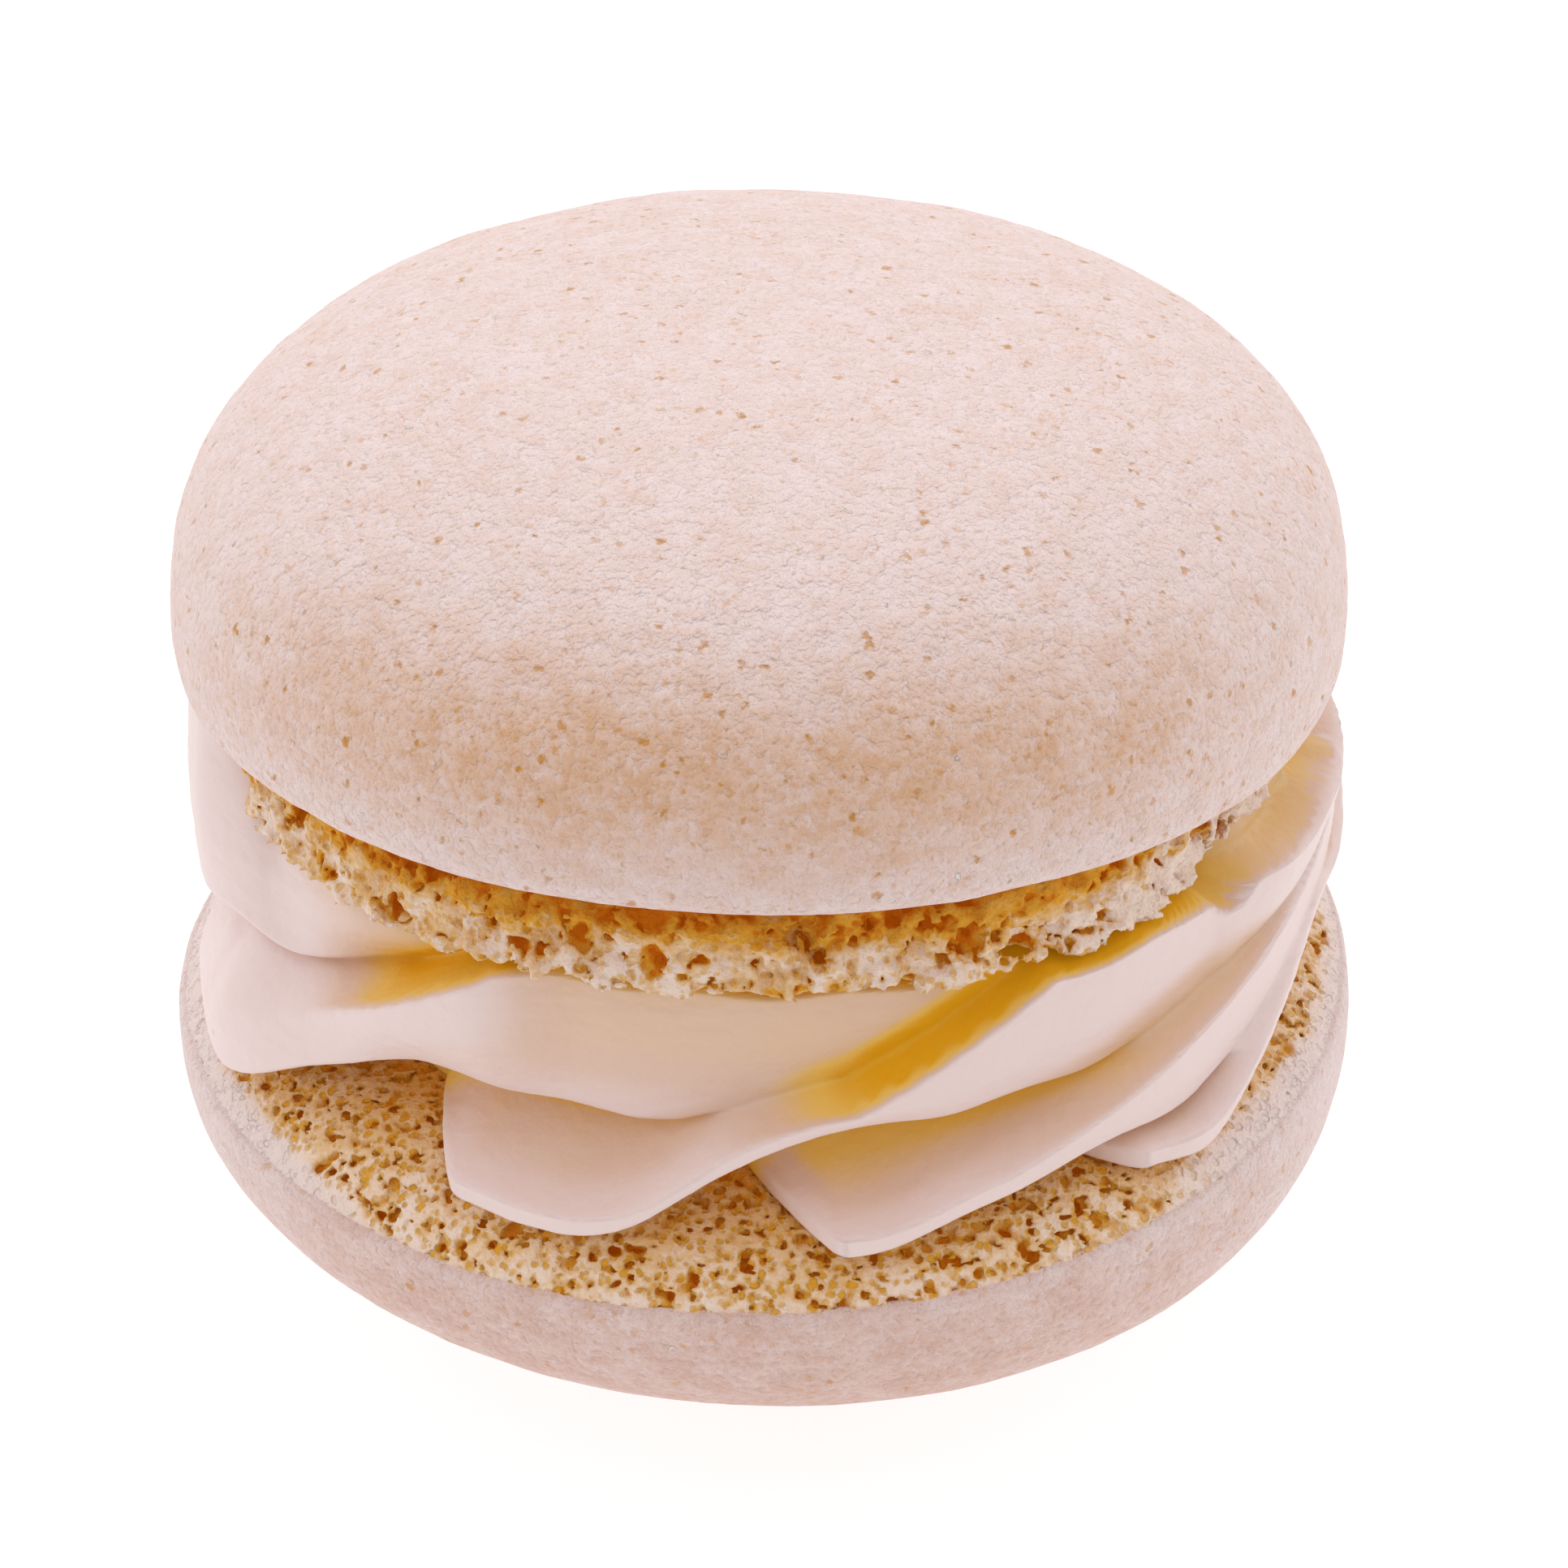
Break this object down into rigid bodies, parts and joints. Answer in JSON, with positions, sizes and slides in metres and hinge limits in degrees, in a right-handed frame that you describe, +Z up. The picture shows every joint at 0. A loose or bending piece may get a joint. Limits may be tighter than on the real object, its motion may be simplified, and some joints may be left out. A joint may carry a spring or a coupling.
{
  "type": "french macaron",
  "caption": "Round sandwich biscuit: domed almond meringue shells, crust outward with ragged crumb feet, round a piped buttercream swirl that turns as it climbs.",
  "frame": {"origin": "middle of the small flat spot on the lower shell's crust that the macaron rests on", "axes": "+Z up through both shells; -Y is the side that the upper shell is raised on, where the swirl stands out most; +X is to the right seen from there"},
  "size_m": [0.0468, 0.0469, 0.0389],
  "materials": {
    "crust": "dry matt meringue crust, pale pink-beige, with fine pinholes and wrinkles",
    "crumb": "open porous almond crumb, golden in its pores",
    "cream": "smooth satin buttercream, pale pink-cream, warm yellow in its folds"
  },
  "bodies": {
    "root": {"bottom_shell": "crust", "cream_filling": "cream", "top_shell": "crust"}
  },
  "joints": []
}
